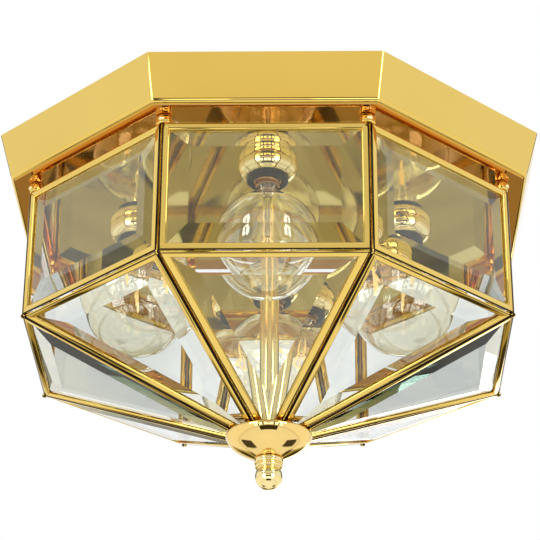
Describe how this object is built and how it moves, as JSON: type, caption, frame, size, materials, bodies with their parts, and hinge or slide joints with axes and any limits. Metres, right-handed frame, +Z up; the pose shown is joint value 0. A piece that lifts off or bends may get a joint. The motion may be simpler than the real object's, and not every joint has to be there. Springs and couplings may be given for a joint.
{
  "type": "outdoor ceiling light",
  "caption": "Octagonal flush ceiling light: a brass pan over a lantern of bevelled glass panels in brass came, with globe bulbs and a stem and finial that carry the lantern.",
  "frame": {"origin": "centre of the two outlet box screw holes, on the ceiling plane at the pan's axis", "axes": "+Z up into the ceiling, -Y out of the front side of the octagon, +X to the right seen from the front"},
  "size_m": [0.2694, 0.2694, 0.1695],
  "materials": {
    "polished_brass": "mirror polished and lacquered",
    "reflector_brass": "bright rolled sheet",
    "came_brass": "polished drawn channel with soldered joints",
    "bevelled_glass": "clear, bevelled and polished",
    "bulb_glass": "clear blown",
    "copper": "bright pressed thread",
    "black_phenolic": "moulded",
    "zinc_steel": "zinc plated",
    "green_screw": "green plated",
    "black_insulation": "extruded",
    "white_insulation": "extruded",
    "connector_plastic": "moulded with ribs",
    "filament_wire": "clear glass stem with a fine wire"
  },
  "bodies": {
    "pan": {"canopy_band": "polished_brass", "socket_plate": "reflector_brass", "crossbar": "zinc_steel", "ground_screw": "green_screw", "nipple": "zinc_steel", "locknuts": "zinc_steel", "stem_tube": "polished_brass", "finial_stud": "zinc_steel", "socket_husk_front": "polished_brass", "socket_husk_right": "polished_brass", "socket_husk_back": "polished_brass", "socket_husk_left": "polished_brass", "socket_body_front": "black_phenolic", "socket_body_right": "black_phenolic", "socket_body_back": "black_phenolic", "socket_body_left": "black_phenolic", "socket_shells": "copper", "socket_contacts": "copper", "black_leads": "black_insulation", "white_leads": "white_insulation", "wire_connectors": "connector_plastic"},
    "shade": {"upper_glass_front": "bevelled_glass", "upper_glass_front_right": "bevelled_glass", "upper_glass_right": "bevelled_glass", "upper_glass_back_right": "bevelled_glass", "upper_glass_back": "bevelled_glass", "upper_glass_back_left": "bevelled_glass", "upper_glass_left": "bevelled_glass", "upper_glass_front_left": "bevelled_glass", "lower_glass_front": "bevelled_glass", "lower_glass_front_right": "bevelled_glass", "lower_glass_right": "bevelled_glass", "lower_glass_back_right": "bevelled_glass", "lower_glass_back": "bevelled_glass", "lower_glass_back_left": "bevelled_glass", "lower_glass_left": "bevelled_glass", "lower_glass_front_left": "bevelled_glass", "came_tops": "came_brass", "came_uprights": "came_brass", "came_waist_upper": "came_brass", "came_waist_lower": "came_brass", "came_ribs": "came_brass", "corner_posts": "polished_brass", "solder_beads": "came_brass", "shade_washer": "polished_brass", "finial_cup": "polished_brass"},
    "finial": {"finial": "polished_brass"},
    "bulb_front": {"bulb_glass_front": "bulb_glass", "bulb_cap_front": "copper", "bulb_mount_front": "filament_wire"},
    "bulb_right": {"bulb_glass_right": "bulb_glass", "bulb_cap_right": "copper", "bulb_mount_right": "filament_wire"},
    "bulb_back": {"bulb_glass_back": "bulb_glass", "bulb_cap_back": "copper", "bulb_mount_back": "filament_wire"},
    "bulb_left": {"bulb_glass_left": "bulb_glass", "bulb_cap_left": "copper", "bulb_mount_left": "filament_wire"}
  },
  "joints": [
    {"name": "shade_lower", "type": "slide", "parent": "pan", "child": "shade", "axis": [0, 0, -1], "range_m": [0, 0.15]},
    {"name": "finial_turn", "type": "hinge", "parent": "shade", "child": "finial", "pos_m": [0, 0, -0.16], "axis": [0, 0, 1], "continuous": true},
    {"name": "bulb_turn_front", "type": "hinge", "parent": "pan", "child": "bulb_front", "pos_m": [0, -0.0675, -0.06], "axis": [0, 0, 1], "continuous": true},
    {"name": "bulb_turn_right", "type": "hinge", "parent": "pan", "child": "bulb_right", "pos_m": [0.0675, 0, -0.06], "axis": [0, 0, 1], "continuous": true},
    {"name": "bulb_turn_back", "type": "hinge", "parent": "pan", "child": "bulb_back", "pos_m": [0, 0.0675, -0.06], "axis": [0, 0, 1], "continuous": true},
    {"name": "bulb_turn_left", "type": "hinge", "parent": "pan", "child": "bulb_left", "pos_m": [-0.0675, 0, -0.06], "axis": [0, 0, 1], "continuous": true}
  ]
}
